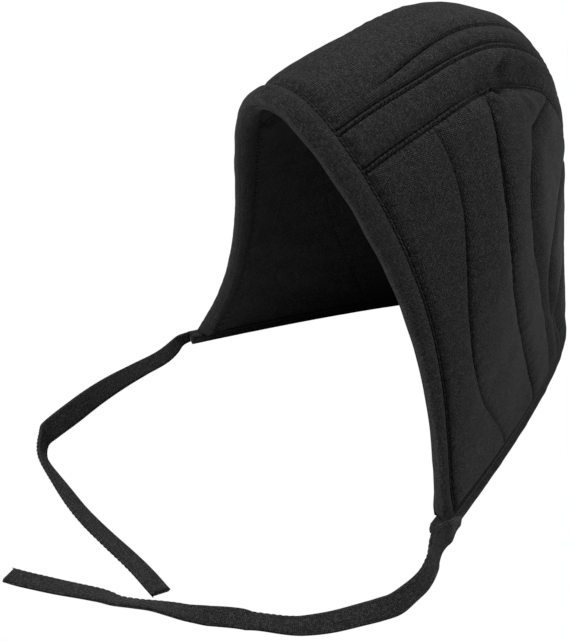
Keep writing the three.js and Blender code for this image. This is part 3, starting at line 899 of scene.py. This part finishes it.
# Down through the binding and up it, as shares of the padding and its height
BINDING_SECTION = [
    [0.10, 0], [0.50, 0], [0.90, 0], [1.00, 0.08], [1.05, 0.2], [1.09, 0.5], [1.07, 0.68], [1.02, 0.78],
    [1.02, 0.84], [1.07, 0.89], [1.06, 0.96], [1.01, 1], [0.90, 1], [0.50, 1], [0.27, 1], [0.20, 0.985],
    [0.175, 0.95], [0.185, 0.90], [0.20, 0.85], [0.17, 0.79], [0.07, 0.68], [-0.04, 0.52], [-0.09, 0.34],
    [-0.05, 0.15], [0.01, 0.06],
]


def binding():
    section = np.array(BINDING_SECTION)
    deep, high = section[None, :, 0], section[None, :, 1]
    total = float(half_length(0.0))
    back = np.linspace(0, 1, 300) * total
    at = along(0, total - back)
    h = NORMAL_STEP
    ahead = along(0, total - np.maximum(back - h, 0))
    behind = along(0, total - np.maximum(back + h, 2 * h))
    out = unit(np.cross(behind - ahead, [0, 0, 1.0]))
    out[-1] = [0, 1, 0]
    halves = []
    for side, seed in ((1, 5), (-1, 6)):
        wave = 0.25 * waves(back, back * 0, 15, seed)[:, None] * np.sin(math.pi * high)
        ring = at[:, None] - out[:, None] * (deep * PAD + wave)[..., None]
        ring[..., 2] = high * BINDING_HEIGHT
        halves.append(ring * [side, 1, 1])
    rings = whole_row(*halves)
    s = np.linspace(-total, total, len(rings))[:, None]
    uv = rows_uv(s, arc(section * [PAD, BINDING_HEIGHT]), rings.shape[:2])
    piece = tube_piece("rim_binding", rings, uv, TAPE)
    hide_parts("neck_binding")


# Felled seams: the ridge between two stitching rows, as shares of FELL and SEAM_DIP
WELT = np.array([
    [-1.25, 1.12], [-1.05, 1.02], [-0.85, 0.80], [-0.55, 0.56], [-0.2, 0.46], [0.2, 0.46], [0.55, 0.56],
    [0.85, 0.80], [1.05, 1.02], [1.25, 1.12], [1.1, 1.35], [0.0, 1.4], [-1.1, 1.35],
])


def felled_seam(name, row, side):
    s = np.linspace(0, arc(ROWS[row])[-1], 700)
    line_back, line_up, beside = walk(row, s)
    across_welt = WELT[None, :, 0]
    w = across_welt * FELL
    back = line_back[:, None] + beside[:, :1] * w
    up = line_up[:, None] + beside[:, 1:] * w
    _, depth = relief(back, up, side)
    # each stitch pulls a slanted dent into the ridge
    dents = 0.30 * np.sin(2 * math.pi * (s[:, None] / STITCH_PITCH + 0.3 * across_welt))
    d = WELT[None, :, 1] * SEAM_DIP + dents * (np.abs(across_welt) < 0.95)
    uv = rows_uv(s[:, None], w, back.shape)
    for label, below in (("out", d + depth), ("in", PAD - d + INNER_SHARE * depth)):
        tube_piece(f"{name}_{label}", skin(back, up, below, side), uv, CANVAS)


side_panels()
crown()
strips()
band()
binding()
for side, label in ((1, "left"), (-1, "right")):
    for row in ("crown", "side", "band"):
        felled_seam(f"seam_{row}_{label}", row, side)


# ---- stitches ----
def stitch_tree():
    """Stitches of a set length along curves, with small chance differences."""
    tree = bpy.data.node_groups.new("stitch_rows", "GeometryNodeTree")
    for label, kind, value in (("Geometry", "NodeSocketGeometry", None), ("Pitch", "NodeSocketFloat", 0.003),
                               ("Stitch", "NodeSocketFloat", 0.0024), ("Thread", "NodeSocketFloat", 0.0005),
                               ("Seed", "NodeSocketInt", 1), ("Material", "NodeSocketMaterial", None)):
        socket = tree.interface.new_socket(label, in_out="INPUT", socket_type=kind)
        if value is not None:
            socket.default_value = value
    tree.interface.new_socket("Geometry", in_out="OUTPUT", socket_type="NodeSocketGeometry")
    n = tree.nodes
    link = tree.links.new
    start, end = n.new("NodeGroupInput"), n.new("NodeGroupOutput")
    even = n.new("GeometryNodeResampleCurve")
    even.mode = "LENGTH"
    link(start.outputs["Geometry"], even.inputs["Curve"])
    link(start.outputs["Pitch"], even.inputs["Length"])
    bead = n.new("GeometryNodeMeshUVSphere")
    bead.inputs["Segments"].default_value = 6
    bead.inputs["Rings"].default_value = 5
    bead.inputs["Radius"].default_value = 0.5
    size = n.new("ShaderNodeCombineXYZ")
    link(start.outputs["Thread"], size.inputs[0])
    link(start.outputs["Thread"], size.inputs[1])
    link(start.outputs["Stitch"], size.inputs[2])
    long = n.new("GeometryNodeTransform")
    link(bead.outputs["Mesh"], long.inputs["Geometry"])
    link(size.outputs[0], long.inputs["Scale"])
    way = n.new("GeometryNodeInputTangent")
    turn = n.new("FunctionNodeAlignRotationToVector")
    turn.axis = "Z"
    link(way.outputs[0], turn.inputs["Vector"])
    vary = n.new("FunctionNodeRandomValue")
    vary.data_type = "FLOAT_VECTOR"
    vary.inputs[0].default_value = (0.85, 0.85, 0.88)
    vary.inputs[1].default_value = (1.15, 1.15, 1.08)
    link(start.outputs["Seed"], vary.inputs["Seed"])
    lay = n.new("GeometryNodeInstanceOnPoints")
    link(even.outputs["Curve"], lay.inputs["Points"])
    link(long.outputs["Geometry"], lay.inputs["Instance"])
    link(turn.outputs["Rotation"], lay.inputs["Rotation"])
    link(vary.outputs[0], lay.inputs["Scale"])
    real = n.new("GeometryNodeRealizeInstances")
    link(lay.outputs["Instances"], real.inputs["Geometry"])
    soft = n.new("GeometryNodeSetShadeSmooth")
    link(real.outputs["Geometry"], soft.inputs["Geometry"])
    paint = n.new("GeometryNodeSetMaterial")
    link(soft.outputs["Geometry"], paint.inputs["Geometry"])
    link(start.outputs["Material"], paint.inputs["Material"])
    link(paint.outputs["Geometry"], end.inputs["Geometry"])
    return tree


STITCHES = stitch_tree()


def stitched(name, rows, seed, stitch=2.5, thread=0.55):
    """One mesh of stitches along rows of points in millimetres."""
    data = bpy.data.curves.new(name + "_rows", "CURVE")
    data.dimensions = "3D"
    for row in rows:
        line = data.splines.new("POLY")
        line.points.add(len(row) - 1)
        line.points.foreach_set("co", np.c_[np.asarray(row) * MM, np.ones(len(row))].ravel().astype("f"))
    holder = bpy.data.objects.new(name + "_rows", data)
    bpy.context.scene.collection.objects.link(holder)
    modifier = holder.modifiers.new("stitches", "NODES")
    modifier.node_group = STITCHES
    names = {item.name: item.identifier for item in STITCHES.interface.items_tree if item.in_out == "INPUT"}
    modifier[names["Pitch"]] = STITCH_PITCH * MM
    modifier[names["Stitch"]] = stitch * MM
    modifier[names["Thread"]] = thread * MM
    modifier[names["Seed"]] = seed
    modifier[names["Material"]] = THREAD
    deps = bpy.context.evaluated_depsgraph_get()
    me = bpy.data.meshes.new_from_object(holder.evaluated_get(deps))
    bpy.data.objects.remove(holder)
    me.name = name
    piece = bpy.data.objects.new(name, me)
    bpy.context.scene.collection.objects.link(piece)
    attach(piece, "root")


# How deep the threads lie, as a share of the seam's depth
FELLED_SINK = 0.93
QUILT_SINK = 0.97


def row_beside(row, offset, side, sink, inner=False, reach=1.0):
    """Points of a stitching row at an offset from a row of the pattern."""
    total = arc(ROWS[row])[-1]
    back, up, beside = walk(row, np.linspace(0, total * reach, int(total)))
    back = back + beside[:, 0] * offset
    up = up + beside[:, 1] * offset
    _, depth = relief(back, up, side)
    if inner:
        return skin(back, up, PAD - sink * SEAM_DIP + INNER_SHARE * depth, side)
    return skin(back, up, sink * SEAM_DIP + depth, side)


def all_stitches():
    for side, label in ((1, "left"), (-1, "right")):
        felled, quilted = [], []
        for row in ("crown", "side", "band"):
            for offset in (-FELL * 1.04, FELL * 1.04):
                felled.append(row_beside(row, offset, side, FELLED_SINK))
                felled.append(row_beside(row, offset, side, FELLED_SINK, inner=True))
        for k in range(1, 6):
            sink = LINE_SINK.get(f"line{k}", DEFAULT_SINK) * QUILT_SINK
            quilted.append(row_beside(f"line{k}", 0, side, sink))
            quilted.append(row_beside(f"line{k}", 0, side, sink, inner=True))
        quilted.append(row_beside("middle", 0, side, QUILT_SINK, reach=0.8))
        quilted.append(row_beside("middle", 0, side, QUILT_SINK, inner=True, reach=0.8))
        stitched(f"seam_stitches_{label}", felled, seed=4 + side)
        stitched(f"quilt_stitches_{label}", quilted, seed=14 + side)
        centre, wide, thick = tie_frames[label]
        edge = centre + wide * 0.40 * TIE_WIDTH
        rows = [edge + thick * face * 0.43 * TIE_THICKNESS for face in (1, -1)]
        stitched(f"tape_stitches_{label}", rows, seed=24 + side)
    total = float(half_length(0.0))
    at = along(0, total - np.linspace(0.5, total, 500))
    out = unit(np.cross(np.gradient(at, axis=0), [0, 0, 1.0]))
    rows = []
    # outside and inside: depth and height, as in BINDING_SECTION
    for d, height in ((0.185, 0.86), (1.03, 0.82)):
        line = at - out * d * PAD
        line[:, 2] = BINDING_HEIGHT * height
        rows.append(np.concatenate([line, (line * [-1, 1, 1])[::-1]]))
    stitched("binding_stitches", rows, seed=31)


all_stitches()


# ---- floor and light ----
FLOOR_HALF = 6.0                # metres, as are the lamps' places


def stage():
    floor_me = bpy.data.meshes.new("floor")
    corners = [(x * FLOOR_HALF, y * FLOOR_HALF, 0) for x, y in ((-1, -1), (1, -1), (1, 1), (-1, 1))]
    floor_me.from_pydata(corners, [], [(0, 1, 2, 3)])
    floor = bpy.data.objects.new("floor", floor_me)
    bpy.context.scene.collection.objects.link(floor)
    paper, t, shader = new_material("pale_floor")
    shader.inputs["Base Color"].default_value = (0.7, 0.7, 0.7, 1)
    shader.inputs["Roughness"].default_value = 0.9
    shader.inputs["Specular IOR Level"].default_value = 0.1
    # the camera sees the floor as the plain white that a cut-out picture has
    seen = t.node("ShaderNodeLightPath")
    white = t.node("ShaderNodeEmission")
    blend = t.node("ShaderNodeMixShader")
    t.put(blend.inputs[0], seen.outputs["Is Camera Ray"])
    t.put(blend.inputs[1], shader.outputs[0])
    t.put(blend.inputs[2], white.outputs[0])
    t.put(paper.node_tree.nodes["Material Output"].inputs["Surface"], blend.outputs[0])
    floor_me.materials.append(paper)

    def lamp(name, place, aim, size, power):
        data = bpy.data.lights.new(name, "AREA")
        data.shape = "DISK"
        data.size = size
        data.energy = power
        light = bpy.data.objects.new(name, data)
        light.location = place
        light.rotation_euler = (Vector(aim) - Vector(place)).to_track_quat("-Z", "Y").to_euler()
        bpy.context.scene.collection.objects.link(light)

    lamp("key", (-0.55, -0.95, 1.7), (0, 0, 0.12), 0.9, 64)
    lamp("side", (1.0, 1.6, 0.8), (0, 0, 0.10), 0.7, 35)
    # the camera sees a white sky that lights the cap only faintly
    world = bpy.data.worlds.new("studio")
    world.use_nodes = True
    t = Nodes(world.node_tree)
    seen = t.node("ShaderNodeLightPath")
    sky = world.node_tree.nodes["Background"]
    sky.inputs[0].default_value = (1, 1, 1, 1)
    t.put(sky.inputs[1], t.range(seen.outputs["Is Camera Ray"], 0.0, 1.0, 0.22, 1.0))
    bpy.context.scene.world = world
    bpy.context.scene.view_settings.view_transform = "Standard"


stage()
